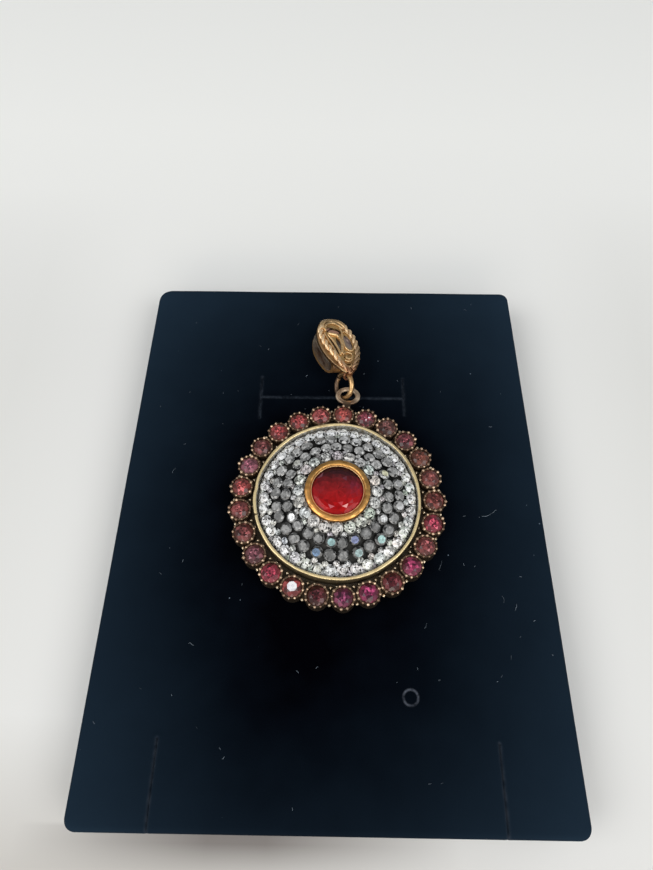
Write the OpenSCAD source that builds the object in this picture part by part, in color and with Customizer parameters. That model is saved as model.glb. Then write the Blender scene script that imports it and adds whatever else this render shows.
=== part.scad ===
// Round gemstone pendant lying face up on the velvet pad of a jewellery box.
// X to the right, Y away from the viewer, Z up, origin at the middle of the pad's underside.

/* [Display pad] */
// Width of the pad
pad_w = 66; // [60:1:80]
// Length of the pad
pad_l = 87; // [80:1:110]
// Thickness of the pad
pad_h = 8; // [5:0.5:15]
// Radius of the pad's upright corners
pad_corner = 1.6; // [0.5:0.1:4]
// Width of the cut slits
slit_w = 0.3; // [0.2:0.05:0.6]
// Depth of the cut slits
slit_depth = 3; // [1:0.5:4]
// Length of the H slit's cross stroke
h_slit_l = 24.4; // [18:0.1:30]
// Length of the H slit's two end strokes
h_slit_end = 8; // [4:0.1:10]
// Distance of the H slit in front of the pad's middle
h_slit_y = 19.5; // [17:0.1:24]
// Distance of each front slit from the pad's middle line
front_slit_x = 22.4; // [15:0.1:28]
// Length of the front slits, which run out at the front edge
front_slit_l = 10.6; // [5:0.1:15]

/* [Disc] */
// Middle of the disc, to the right of the pad's middle
disc_x = 0.95; // [-3:0.05:3]
// Middle of the disc, behind the pad's middle
disc_y = -0.1; // [-3:0.05:3]
// Radius of the circle on which the cups stand
cup_ring_r = 14.85; // [14.7:0.05:16]
// Number of cups around the edge
cup_count = 25; // [20:1:25]
// Turn of the first cup away from the top, clockwise
cup_phase = 3.6; // [0:0.1:14]
// Outer radius of one cup
cup_r = 1.7; // [1.6:0.01:1.8]
// Height of the cup rims over the pad
cup_top = 2.6; // [2.2:0.05:3]
// Thickness of the base plate
plate_t = 1; // [0.8:0.05:1.2]
// Outer radius of the dish that holds the small stones
dish_r = 12.65; // [12.5:0.05:12.9]
// Height of the dish's wall over the pad
dish_top = 3.65; // [3.4:0.05:4]
// Thickness of the dish's wall
dish_wall = 0.62; // [0.4:0.02:0.8]

/* [Stones] */
// Diameter of the edge stones
rim_stone_d = 2.84; // [2.6:0.02:2.9]
// Diameter of the middle stone
center_d = 7.96; // [7.6:0.02:8]
// Outer radius of the middle stone's collar
bezel_r = 4.85; // [4.7:0.01:4.9]
// Height of the collar over the pad
bezel_top = 6.5; // [6.3:0.05:6.8]
// Radius of the dome on which the small stones' tables lie
dome_r = 19; // [18.5:0.1:20]
// Height of the dome's top over the pad, were it whole
dome_top = 7.2; // [7:0.05:7.4]

/* [Hanger] */
// Distance of the eyelet from the middle of the disc
eyelet_dist = 19.1; // [19:0.05:19.3]
// Turn of the eyelet away from the top, clockwise
eyelet_angle = 5.1; // [4:0.1:6]
// Middle radius of the eyelet's flat ring
eyelet_r = 1.65; // [1.62:0.01:1.7]
// Width of the eyelet's flat ring
eyelet_w = 0.85; // [0.6:0.05:0.9]
// Thickness of the eyelet's flat ring
eyelet_t = 0.5; // [0.3:0.05:0.55]
// Radius of the jump ring's wire circle
ring_r = 2.07; // [2.04:0.01:2.1]
// Diameter of the jump ring's wire
ring_wire = 0.8; // [0.6:0.05:0.8]
// Length of the bail from its tip to its fold
bail_l = 12.8; // [12.2:0.1:13.4]
// Width of the bail's leaf
bail_w = 7.2; // [6.8:0.1:7.6]
// Depth of the bail at its fold
bail_d = 3.15; // [3:0.05:3.2]
// Thickness of the bail's metal
bail_t = 0.4; // [0.3:0.05:0.5]

/* [Hidden] */
$fn = 64;
eps = 0.01;
// Gap between pieces that rest on or in each other
gap = 0.05;

// Heights over the pad's top face
plate_z = gap;
dish_z = plate_z + plate_t + gap;
dish_floor = 0.5;
bed_z = dish_z + dish_floor + gap;
bed_edge_z = 2.5;
dome_z = dome_top - dome_r;

// Cups and their stones
cup_step = 360 / cup_count;
cup_foot = 0.35;
seat_r = rim_stone_d / 2 + gap;
seat_z = 1.5;
solder_w = 1.1;
solder_h = 1.1;

// Cut of the stones: table's share of the width, heights, back's share of the width, facets around
bend_out = 0.62;
bend_up = 0.45;
rim_table = 0.5;
rim_crown = 0.5;
rim_girdle = 0.1;
rim_pavilion = 0.9;
rim_back = 0.2;
rim_facets = 8;
center_table = 0.62;
center_crown = 0.48;
center_girdle = 0.08;
center_pavilion = 2.3;
center_back = 0.06;
center_facets = 16;
small_table = 0.6;
small_crown = 0.3;
small_girdle = 0.06;
small_pavilion = 0.5;
small_back = 0.5;
small_facets = 8;

// Small stones: radius of the row over the disc, number, diameter
CLEAR_ROWS = [[5.9, 20, 1.7], [11.25, 38, 1.72]];
GREY_ROWS = [[7.8, 27, 1.66], [9.45, 30, 1.76]];
bed_r = dome_r - small_crown - small_girdle - small_pavilion - gap;

// Middle stone and its collar
center_girdle_z = 5.78;
bezel_foot_r = bezel_r - 0.15;
bezel_floor = 0.4;
bezel_lip_r = 3.84;
bezel_shelf_r = 3.55;
groove_z = center_girdle_z - 0.3;
groove_h = 0.47;

// Eyelet: height of its middle over the pad, dip of its far side and its short neck
eyelet_z = 1.54;
eyelet_dip = 14.5;
neck_w = 1.2;
neck_t = 0.7;

// Jump ring: middle over the pad, how it leans and where it is cut
RING_MIDDLE = [1.95, 20.51, 2.22];
ring_turn = 4.3;
ring_slope = 34;
ring_lean = 50.6;
ring_cut_at = 142;
ring_cut = 5;

// Bail: tip over the pad, how it lies, its outline and the round at the foot of its back leaf
BAIL_TIP = [3, 21.44, 4.75];
bail_turn = 17.8;
bail_pitch = -4.3;
bail_roll = 18.5;
bail_tip_half_w = 0.44;
bail_fold_half_w = 0.74;
bail_widest = 6.86;
bail_foot_y = 3.34;
bail_foot_r = 1.45;
arc_steps = 16;

// Eye soldered behind the bail's tip, in the leaf's frame
EYE_MIDDLE = [-0.03, 0.42, -0.97];
eye_turn = 9.7;
eye_lean = -110.8;
eye_r = 0.72;
eye_wire = 0.45;

// Windows of the front leaf: middle, half length, half width, turn
SLIM_WINDOWS = [
  [-1, 6.2, 2.2, 0.28, 9.7],
  [0.1, 6.3, 1.9, 0.42, 3],
  [2, 7.1, 1.6, 0.42, 10.7],
  [0.2, 3.4, 0.35, 0.2, 60],
  [0.3, 1.9, 0.42, 0.2, -80]
];
// Crescent window under the fold: middle and radius of its outer and inner arc
CRESCENT = [[-0.1, 9.1, 1.25], [-0.25, 8.45, 1.4]];

module on_pad() {
  translate([0, 0, pad_h]) children();
}

module on_disc(angle, dist) {
  translate([disc_x, disc_y, pad_h]) rotate([0, 0, -angle]) translate([0, dist, 0]) children();
}

// Flat plate with round corners, standing on z = 0
module rounded_block(w, l, h, r) {
  linear_extrude(height = h) union() {
    square([w - 2 * r, l], center = true);
    square([w, l - 2 * r], center = true);
    for (x = [-1, 1], y = [-1, 1])
      translate([x * (w / 2 - r), y * (l / 2 - r)]) circle(r = r);
  }
}

module slit(x, y, w, l) {
  translate([x - w / 2, y - l / 2, pad_h - slit_depth]) cube([w, l, slit_depth + 1]);
}

module display_pad() {
  color("#0a1018") difference() {
    rounded_block(pad_w, pad_l, pad_h, pad_corner);
    slit(0, h_slit_y, h_slit_l, slit_w);
    for (side = [-1, 1]) {
      slit(side * h_slit_l / 2, h_slit_y, slit_w, h_slit_end);
      slit(side * front_slit_x, -pad_l / 2 + front_slit_l / 2 - 0.5, slit_w, front_slit_l + 1);
    }
  }
}

// Wire bent into a circle in the XY plane
module wire_circle(r, wire, angle = 360) {
  rotate_extrude(angle = angle) translate([r, 0]) circle(d = wire);
}

module cup_body() {
  translate([0, 0, cup_foot]) cylinder(r = cup_r, h = cup_top - cup_foot);
}

// Flat ring with round inner and outer edges in the XY plane
module flat_ring(r, w, t) {
  rotate_extrude() translate([r, 0]) union() {
    square([w - t, t], center = true);
    for (side = [-1, 1]) translate([side * (w - t) / 2, 0]) circle(d = t);
  }
}

module eyelet() {
  neck_start = cup_ring_r + seat_r - eps;
  neck_l = eyelet_dist - eyelet_r - neck_start;
  neck_z = eyelet_z + eyelet_r * sin(eyelet_dip);
  on_disc(eyelet_angle, eyelet_dist)
    translate([0, 0, eyelet_z]) rotate([-eyelet_dip, 0, 0]) flat_ring(eyelet_r, eyelet_w, eyelet_t);
  on_disc(eyelet_angle, neck_start)
    translate([-neck_w / 2, -cup_r / 4, neck_z - neck_t / 2]) cube([neck_w, neck_l + cup_r / 4, neck_t]);
}

module setting() {
  color("#6b4a33") difference() {
    union() {
      on_disc(0, 0) translate([0, 0, plate_z]) cylinder(r = cup_ring_r, h = plate_t);
      for (i = [0 : cup_count - 1]) {
        on_disc(cup_phase + i * cup_step, cup_ring_r) cup_body();
        on_disc(cup_phase + (i + 0.5) * cup_step, cup_ring_r)
          translate([-solder_w / 2, -solder_w / 2, cup_foot])
            cube([solder_w, solder_w, solder_h]);
      }
      eyelet();
    }
    for (i = [0 : cup_count - 1])
      on_disc(cup_phase + i * cup_step, cup_ring_r)
        translate([0, 0, seat_z]) cylinder(r = seat_r, h = cup_top);
  }
}

module dish() {
  color("#d8c48c") on_disc(0, 0) translate([0, 0, dish_z]) difference() {
    cylinder(r = dish_r, h = dish_top - dish_z);
    translate([0, 0, dish_floor]) cylinder(r = dish_r - dish_wall, h = dish_top);
  }
}

module pave_bed() {
  bed_edge = dish_r - dish_wall - gap;
  color("#15161a") on_disc(0, 0) difference() {
    union() {
      translate([0, 0, bed_z]) cylinder(r = bed_edge, h = bed_edge_z - bed_z);
      intersection() {
        translate([0, 0, bed_z]) cylinder(r = bed_edge, h = dome_top);
        translate([0, 0, dome_z]) sphere(r = bed_r);
      }
    }
    cylinder(r = bezel_foot_r + gap, h = dome_top + 1);
  }
}

// Collar: slim foot, round top and a thin lip over the stone's girdle
module center_bezel() {
  round_r = (bezel_r - bezel_lip_r) / 2;
  shoulder = bezel_top - round_r;
  foot_top = dome_z + sqrt(bed_r * bed_r - bezel_foot_r * bezel_foot_r) + gap;
  color("#b8792a") on_disc(0, 0) difference() {
    rotate_extrude() union() {
      translate([0, bed_z]) square([bezel_foot_r, foot_top - bed_z]);
      translate([0, foot_top - eps]) square([bezel_r, shoulder - foot_top + eps]);
      translate([bezel_lip_r + round_r, shoulder]) circle(r = round_r);
    }
    translate([0, 0, shoulder - 2 * gap]) cylinder(r = bezel_lip_r, h = bezel_top);
    translate([0, 0, groove_z]) cylinder(r = center_d / 2 + gap, h = groove_h);
    translate([0, 0, bed_z + bezel_floor]) cylinder(r = bezel_shelf_r, h = bezel_top);
  }
}

// Points of a regular polygon at a height
function ring_points(n, r, z, turn) =
  [for (i = [0 : n - 1]) [r * cos(turn + i * 360 / n), r * sin(turn + i * 360 / n), z]];

// Band of triangles between two rings of points with the same number of points
function band(n, low, high) = [
  for (i = [0 : n - 1]) each [
    [low + i, high + i, low + (i + 1) % n],
    [low + (i + 1) % n, high + i, high + (i + 1) % n]
  ]
];

// Round stone: flat back, pavilion, girdle, star-cut crown and table. Its back lies on z = 0.
module cut_stone(d, table, crown, girdle, pavilion, back, n) {
  half = 180 / n;
  points = concat(
    ring_points(n, back * d / 2, 0, half),
    ring_points(n, d / 2, pavilion, 0),
    ring_points(n, d / 2, pavilion + girdle, 0),
    ring_points(n, (table + bend_out * (1 - table)) * d / 2, pavilion + girdle + bend_up * crown, half),
    ring_points(n, table * d / 2, pavilion + girdle + crown, 0)
  );
  faces = concat(
    [[for (i = [0 : n - 1]) i]],
    band(n, 0, n), band(n, n, 2 * n), band(n, 2 * n, 3 * n), band(n, 3 * n, 4 * n),
    [[for (i = [n - 1 : -1 : 0]) 4 * n + i]]
  );
  polyhedron(points = points, faces = faces);
}

module center_stone() {
  color("#a01820") on_disc(0, 0)
    translate([0, 0, center_girdle_z - center_pavilion])
      cut_stone(center_d, center_table, center_crown, center_girdle, center_pavilion, center_back,
                center_facets);
}

module rim_stone(i) {
  color("#a8305a") on_disc(cup_phase + (i - 1) * cup_step, cup_ring_r)
    translate([0, 0, seat_z + gap])
      cut_stone(rim_stone_d, rim_table, rim_crown, rim_girdle, rim_pavilion, rim_back, rim_facets);
}

// Rows of small stones, each stone square to the dome
module pave_rows(rows) {
  for (j = [0 : len(rows) - 1]) {
    row = rows[j];
    lean = asin(row[0] / dome_r);
    for (i = [0 : row[1] - 1])
      on_disc((i + 0.5 * j) * 360 / row[1], 0)
        translate([0, 0, dome_z]) rotate([-lean, 0, 0]) translate([0, 0, bed_r + gap])
          cut_stone(row[2], small_table, small_crown, small_girdle, small_pavilion, small_back,
                    small_facets);
  }
}

module pave_clear() {
  color("#e6e8ec") pave_rows(CLEAR_ROWS);
}

module pave_grey() {
  color("#7c7f86") pave_rows(GREY_ROWS);
}

module at_ring() {
  on_pad() translate(RING_MIDDLE)
    rotate([0, 0, -ring_turn]) rotate([ring_slope, 0, 0]) rotate([0, -ring_lean, 0]) children();
}

module jump_ring() {
  color("#b08a55") at_ring()
    rotate([0, 0, ring_cut_at]) wire_circle(ring_r, ring_wire, 360 - ring_cut);
}

module at_bail() {
  on_pad() translate(BAIL_TIP)
    rotate([0, 0, bail_turn]) rotate([bail_pitch, 0, 0]) rotate([0, bail_roll, 0]) children();
}

// Points on an arc, from one angle to another
function arc_points(middle, r, from, to) =
  [for (i = [0 : arc_steps])
    let (angle = from + (to - from) * i / arc_steps) middle + r * [cos(angle), sin(angle)]];

// Side of the bail's band, a belt around the fold and the narrower foot, set in by a wall's thickness
function belt_points(inset, foot_end) =
  let (fold_r = bail_d / 2, fold = [bail_l - fold_r, -fold_r], foot = [bail_foot_y, -bail_foot_r],
       under = 2 * atan2(fold_r - bail_foot_r, fold[0] - foot[0]))
  concat(arc_points(fold, fold_r - inset, 90, -90 - under),
         arc_points(foot, bail_foot_r - inset, -90 - under, foot_end));

// Side of the bail: the band with its front leaf run out to the tip
module bail_side() {
  joint = asin((bail_foot_r - bail_t) / bail_foot_r);
  difference() {
    polygon(concat([[0, 0]], belt_points(0, -180 - joint), [[0, -bail_t]]));
    polygon(belt_points(bail_t, -270));
  }
}

// Radius of an arc that starts upright and moves sideways by drop over a length of reach
function arc_radius(reach, drop) = (reach * reach + drop * drop) / (2 * drop);

// Two crossing arcs about the line of the leaf's greatest width
module crossing_arcs(reach, drop) {
  r = arc_radius(reach, drop);
  intersection() {
    translate([r - bail_w / 2, bail_widest]) circle(r = r);
    translate([bail_w / 2 - r, bail_widest]) circle(r = r);
  }
}

// Leaf seen from the front: slim towards the tip, broader at the fold
module leaf_outline() {
  below = bail_widest;
  above = bail_l - bail_widest;
  intersection() {
    crossing_arcs(below, bail_w / 2 - bail_tip_half_w);
    translate([-bail_w / 2, 0]) square([bail_w, below]);
  }
  intersection() {
    crossing_arcs(above, bail_w / 2 - bail_fold_half_w);
    translate([-bail_w / 2, below - eps]) square([bail_w, above + eps]);
  }
}

// Slim pointed window, turned about its middle
module lens(x, y, half_l, half_w, turn) {
  r = arc_radius(half_l, half_w);
  translate([x, y]) rotate(turn) intersection() {
    translate([r - half_w, 0]) circle(r = r);
    translate([half_w - r, 0]) circle(r = r);
  }
}

// Windows between the wires of the front leaf
module leaf_windows() {
  for (w = SLIM_WINDOWS) lens(w[0], w[1], w[2], w[3], w[4]);
  difference() {
    translate([CRESCENT[0][0], CRESCENT[0][1]]) circle(r = CRESCENT[0][2]);
    translate([CRESCENT[1][0], CRESCENT[1][1]]) circle(r = CRESCENT[1][2]);
  }
}

// Band folded from one strip, its front leaf run out to a tip that carries the eye
module bail() {
  color("#9a7a48") at_bail() union() {
    difference() {
      intersection() {
        rotate([90, 0, 90]) linear_extrude(height = bail_w + 1, center = true) bail_side();
        translate([0, 0, -bail_d - 1]) linear_extrude(height = bail_d + 2) leaf_outline();
      }
      translate([0, 0, -bail_d / 2]) linear_extrude(height = bail_d) leaf_windows();
    }
    translate(EYE_MIDDLE) rotate([0, 0, eye_turn]) rotate([eye_lean, 0, 0]) wire_circle(eye_r, eye_wire);
  }
}

display_pad();
setting();
dish();
pave_bed();
center_bezel();
center_stone();
rim_stone(1);  // rim_stone_01
rim_stone(2);  // rim_stone_02
rim_stone(3);  // rim_stone_03
rim_stone(4);  // rim_stone_04
rim_stone(5);  // rim_stone_05
rim_stone(6);  // rim_stone_06
rim_stone(7);  // rim_stone_07
rim_stone(8);  // rim_stone_08
rim_stone(9);  // rim_stone_09
rim_stone(10);  // rim_stone_10
rim_stone(11);  // rim_stone_11
rim_stone(12);  // rim_stone_12
rim_stone(13);  // rim_stone_13
rim_stone(14);  // rim_stone_14
rim_stone(15);  // rim_stone_15
rim_stone(16);  // rim_stone_16
rim_stone(17);  // rim_stone_17
rim_stone(18);  // rim_stone_18
rim_stone(19);  // rim_stone_19
rim_stone(20);  // rim_stone_20
rim_stone(21);  // rim_stone_21
rim_stone(22);  // rim_stone_22
rim_stone(23);  // rim_stone_23
rim_stone(24);  // rim_stone_24
rim_stone(25);  // rim_stone_25
pave_clear();
pave_grey();
jump_ring();
bail();
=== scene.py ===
import bpy
import numpy as np
from mathutils import Matrix


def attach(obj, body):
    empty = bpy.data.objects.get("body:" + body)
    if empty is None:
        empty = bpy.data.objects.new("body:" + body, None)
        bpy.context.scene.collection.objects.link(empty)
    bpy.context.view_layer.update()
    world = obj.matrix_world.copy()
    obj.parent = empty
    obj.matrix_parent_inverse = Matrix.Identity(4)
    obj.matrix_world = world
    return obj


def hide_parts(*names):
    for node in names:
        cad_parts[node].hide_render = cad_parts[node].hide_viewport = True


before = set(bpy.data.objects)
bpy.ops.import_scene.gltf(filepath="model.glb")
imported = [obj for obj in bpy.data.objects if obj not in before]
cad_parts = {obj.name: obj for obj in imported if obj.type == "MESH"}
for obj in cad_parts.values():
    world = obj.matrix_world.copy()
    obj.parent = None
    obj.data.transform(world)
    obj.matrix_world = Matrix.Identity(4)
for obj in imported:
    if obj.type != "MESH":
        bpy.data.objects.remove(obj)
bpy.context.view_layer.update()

mm = 0.001

# Display pad: a foam board wrapped in black flocked velvet, 66 x 87 x 8 mm. Its top is slit for
# card tabs, an H near the back and one straight cut near each front corner, and it has picked up lint.
pad_half = np.array([33.0, 43.5])
pad_top = 8.0
pad_edge = 0.9
slit_half = 0.16
slit_deep = 0.35
disc = np.array([0.95, -0.1])
SLITS = np.array([
    [-12.2, 19.5, 12.2, 19.5],
    [-12.2, 15.5, -12.2, 23.6],
    [12.2, 16.3, 12.2, 23.6],
    [-22.4, -45.0, -22.4, -32.9],
    [22.4, -45.0, 22.4, -32.9],
])


def mesh_piece(name, points, faces, slot=None, finish=None, smooth=True):
    """A mesh object from points in mm and lists of corner numbers, riding on the root body."""
    mesh = bpy.data.meshes.new(name)
    mesh.from_pydata((np.asarray(points) * mm).tolist(), [], faces)
    mesh.polygons.foreach_set("use_smooth", np.full(len(mesh.polygons), smooth))
    piece = bpy.data.objects.new(name, mesh)
    bpy.context.collection.objects.link(piece)
    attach(piece, "root")
    if finish:
        mesh.materials.append(finish)
    return piece


def grid_faces(rows, columns, round_rows=False, round_columns=False, first=0):
    """Corner numbers of a grid's cells, row by row; a round grid joins its last line to its first."""
    i, j = np.meshgrid(np.arange(rows if round_rows else rows - 1),
                       np.arange(columns if round_columns else columns - 1), indexing="ij")
    low, high = i * columns, (i + 1) % rows * columns
    j_next = (j + 1) % columns
    return (np.stack([low + j, low + j_next, high + j_next, high + j], -1).reshape(-1, 4) + first).tolist()


def unit(vectors):
    """The same vectors with a length of 1."""
    return vectors / np.maximum(np.linalg.norm(vectors, axis=-1, keepdims=True), 1e-9)


def slit_distance(x, y):
    """Distance from each point to the nearest slit, each slit being a straight stroke."""
    a, b = SLITS[:, None, None, :2], SLITS[:, None, None, 2:]
    p = np.stack([x, y], -1)[None]
    along = np.clip(((p - a) * (b - a)).sum(-1) / ((b - a) ** 2).sum(-1), 0, 1)
    return np.linalg.norm(p - a - along[..., None] * (b - a), axis=-1).min(0)


def crowded_lines(half, places):
    """Grid lines over -half..half, 1.1 apart, that crowd round the given places and at both ends."""
    fine = np.array([0, 0.07, 0.14, 0.24, 0.4, 0.7])
    lines = [np.arange(-half, half, 1.1), [half]]
    lines += [place + sign * fine for place in places for sign in (-1, 1)]
    lines += [sign * (half - np.arange(0, 1.6, 0.15)) for sign in (-1, 1)]
    lines = np.unique(np.round(np.clip(np.concatenate(lines), -half, half), 3))
    return lines[np.append(np.diff(lines) > 0.045, True)]


def velvet_top(x, y):
    """Height of the pad's top: slow swells, a V along each slit, a lip beside it and a sag at the edge."""
    swell = 0.05 * np.sin(x / 7.3 + 1.1) * np.cos(y / 9.1) + 0.03 * np.sin(x / 3.1 - y / 4.2)
    d = slit_distance(x, y)
    cut = -slit_deep * np.clip(1 - d / slit_half, 0, 1)
    lip = 0.07 * np.exp(-((d - 0.42) / 0.22) ** 2)
    edge = np.minimum(pad_half[0] - np.abs(x), pad_half[1] - np.abs(y))
    return pad_top - 0.1 + swell * 0.8 + lip + cut - 0.18 * np.exp(-(edge - pad_edge) / 1.6)


def round_corners(x, y):
    """The grid with its corners drawn in to arcs, the back left one widest, and each point's way out."""
    inner = pad_half - pad_edge
    r = np.where((x < 0) & (y > 0), 1.5, 0.7)
    dx, dy = np.abs(x) - (inner[0] - r), np.abs(y) - (inner[1] - r)
    corner = (dx > 0) & (dy > 0)
    pull = np.where(corner, np.maximum(dx, dy) / np.maximum(np.hypot(dx, dy), 1e-9), 1)
    return (np.where(corner, np.sign(x) * (inner[0] - r + dx * pull), x),
            np.where(corner, np.sign(y) * (inner[1] - r + dy * pull), y),
            np.where(dx > 0, dx, 0) * np.sign(x), np.where(dy > 0, dy, 0) * np.sign(y))


def velvet_pad():
    """The top grid, and from its rim a profile carried round: a soft edge, a side that pulls in, the base."""
    inner = pad_half - pad_edge
    x, y = np.meshgrid(crowded_lines(inner[0], SLITS[:, ::2].ravel()),
                       crowded_lines(inner[1], SLITS[:, 1::2].ravel()), indexing="ij")
    x, y, out_x, out_y = round_corners(x, y)
    top = np.stack([x, y, velvet_top(x, y)], -1).reshape(-1, 3)
    rows, columns = x.shape
    index = np.arange(rows * columns).reshape(rows, columns)
    rim = np.concatenate([index[:, 0], index[-1, 1:], index[-2::-1, -1], index[0, -2:0:-1]])
    out = unit(np.stack([out_x, out_y], -1).reshape(-1, 2)[rim])
    turn = np.linspace(0, np.pi / 2, 6)[1:]
    down = np.linspace(0, 1, 9)[1:-1]
    reach = np.concatenate([pad_edge * np.sin(turn), pad_edge - 0.28 * np.sin(np.pi * down) ** 0.8,
                            [pad_edge - 0.25, pad_edge - 0.8]])
    low = pad_top - 0.2 - pad_edge
    rings = np.repeat(top[rim][None], len(reach), 0)
    rings[:, :, :2] += out * reach[:, None, None]
    rings[:len(turn), :, 2] -= (pad_edge * (1 - np.cos(turn)))[:, None]
    rings[len(turn):, :, 2] = np.append(low * (1 - down) + 0.3 * down, [0.06, 0.0])[:, None]
    faces = np.array(grid_faces(rows, columns))[:, ::-1].tolist()
    lines = np.concatenate([[rim], len(top) + np.arange(len(rings) * len(rim)).reshape(len(rings), -1)])
    after = np.roll(lines, -1, axis=1)
    faces += np.stack([lines[:-1], lines[1:], after[1:], after[:-1]], -1).reshape(-1, 4).tolist()
    faces.append(lines[-1][::-1].tolist())
    return np.concatenate([top, rings.reshape(-1, 3)]), faces


class Nodes:
    """Places shader nodes in a tree: each value is a number, a colour or another node's socket."""

    def __init__(self, tree):
        self.tree = tree

    def into(self, node, **values):
        """Fills a node's sockets by name, underscores standing for spaces, or by number, as i0."""
        for key, value in values.items():
            socket = node.inputs[int(key[1:]) if key[1:].isdigit() else key.replace("_", " ")]
            if isinstance(value, bpy.types.NodeSocket):
                self.tree.links.new(value, socket)
            else:
                socket.default_value = value

    def add(self, kind, out=0, settings=None, **values):
        """One node of that kind, set and filled: one of its outputs."""
        node = self.tree.nodes.new("ShaderNode" + kind)
        for key, value in (settings or {}).items():
            setattr(node, key, value)
        self.into(node, **values)
        return node.outputs[out]

    def sum(self, operation, first, second=0.0):
        """Arithmetic on numbers."""
        return self.add("Math", settings={"operation": operation}, i0=first, i1=second)

    def times(self, first, second):
        """A product of two numbers."""
        return self.sum("MULTIPLY", first, second)

    def spread(self, value, low, high, to_low=0.0, to_high=1.0):
        """A value's range stretched over another range, clamped."""
        return self.add("MapRange", Value=value, From_Min=low, From_Max=high, To_Min=to_low, To_Max=to_high)

    def mix(self, share, first, second):
        """A blend of two colours."""
        return self.add("Mix", 2, {"data_type": "RGBA"}, Factor=share, i6=first, i7=second)

    def place(self, out="Object"):
        """Where a point lies on its piece, or another output of the same node."""
        return self.add("TexCoord", out)

    def part(self, vector, axis):
        """A vector's X, Y or Z."""
        return self.add("SeparateXYZ", axis, Vector=vector)

    def noise(self, place, scale, detail=2.0, roughness=0.5):
        """Soft noise between 0 and 1."""
        return self.add("TexNoise", Vector=place, Scale=scale, Detail=detail, Roughness=roughness)

    def red(self, vector):
        """The red part of a colour."""
        return self.add("SeparateColor", "Red", Color=vector)

    def length(self, place, shift, scale=(1.0, 1.0)):
        """Length of a place's scaled and shifted x and y, the shift in m."""
        flat = self.add("Mapping", Vector=place, Location=(*shift, 0.0), Scale=(*scale, 0.0))
        return self.add("VectorMath", "Value", {"operation": "LENGTH"}, Vector=flat)

    def along(self, vector, line):
        """How far a vector reaches along a line."""
        return self.add("VectorMath", "Value", {"operation": "DOT_PRODUCT"}, i0=vector, i1=tuple(line))

    def on_points(self, name):
        """A number that the piece's points carry."""
        return self.add("Attribute", "Fac", {"attribute_name": name})


def colour(code):
    """A colour from its screen code, as linear light."""
    c = np.array([int(code[k:k + 2], 16) for k in (1, 3, 5)]) / 255
    return (*np.where(c <= 0.04045, c / 12.92, ((c + 0.055) / 1.055) ** 2.4).tolist(), 1.0)


def material(name, **constants):
    """A new material, its nodes, and its Principled shader with the constant values on its own sockets."""
    finish = bpy.data.materials.new(name)
    finish.use_nodes = True
    shader = finish.node_tree.nodes["Principled BSDF"]
    nodes = Nodes(finish.node_tree)
    nodes.into(shader, **constants)
    return finish, nodes, shader


def bump(nodes, height, strength, distance):
    """A Bump node on a height between 0 and 1, its distance in mm."""
    return nodes.add("Bump", Strength=strength, Distance=distance * mm, Height=height)


def velvet(name):
    """Flocked velvet: navy pile painted near-black in the middle and paler to the edges, brushed patches,
    pale cut edges, specks, a ring mark.
    """
    finish, nodes, shader = material(name, Roughness=0.95, Specular_IOR_Level=0.01, Sheen_Weight=0.005,
                                     Sheen_Roughness=0.35, Sheen_Tint=colour("#5a7a9a"))
    place = nodes.place()
    pile = nodes.noise(place, 5200.0, 2.0, 0.7)
    tufts = nodes.noise(place, 1100.0, 2.0, 0.6)
    brushed = nodes.spread(nodes.noise(place, 60.0, 3.0, 0.6), 0.3, 0.7, -0.06, 0.06)
    # Painted shade and sheen: the pile is painted near-black over the middle and paler towards the pad's
    # edges.
    towards_edge = nodes.spread(nodes.length(place, (0.0, 0.08), (31.0, 19.5)), 0.3, 1.35)
    painted_sheen_and_brushing = nodes.sum("ADD", nodes.sum("POWER", towards_edge, 1.6), brushed)
    ground = nodes.mix(painted_sheen_and_brushing, colour("#010104"), colour("#202f3d"))
    ground = nodes.mix(nodes.spread(pile, 0.5, 0.9, 0.0, 0.12), ground, colour("#141e28"))
    cut = nodes.times(nodes.on_points("cut_edge"), nodes.spread(tufts, 0.35, 0.65, 0.2, 1.0))
    ground = nodes.mix(cut, ground, colour("#383f49"))
    cells = nodes.add("TexVoronoi", "Color", Vector=place, Scale=620.0)
    size = nodes.spread(nodes.red(cells), 0.86, 1.0, 0.0, 0.075)
    speck = nodes.sum("LESS_THAN", cells.node.outputs["Distance"], size)
    ground = nodes.mix(nodes.times(speck, 0.5), ground, colour("#8b9bab"))
    off_ring = nodes.sum("ABSOLUTE", nodes.sum("SUBTRACT", nodes.length(place, (-0.01112, 0.02751)), 0.001))
    mark = nodes.spread(off_ring, 0.00002, 0.00023, 1.0, 0.0)
    mark = nodes.times(mark, nodes.spread(tufts, 0.35, 0.65, 0.15, 1.0))
    nodes.into(shader, Base_Color=nodes.mix(mark, ground, colour("#555a64")),
               Roughness=nodes.spread(pile, 0.3, 0.7, 0.85, 1.0), Normal=bump(nodes, pile, 0.8, 0.05))
    return finish


def point_values(piece, name, values):
    """One number per corner point, for the material to read."""
    values = np.asarray(values, dtype=np.float32).ravel()
    piece.data.attributes.new(name, "FLOAT", "POINT").data.foreach_set("value", values)


points, faces = velvet_pad()
pad = mesh_piece("velvet_pad", points, faces, "velvet", velvet("black_velvet"))
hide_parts("display_pad")
on_top = points[:, 2] > pad_top - 2.5
slit_near = slit_distance(points[None, :, 0], points[None, :, 1])[0]
point_values(pad, "cut_edge", np.exp(-(slit_near / 0.2) ** 2) * on_top)


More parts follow.
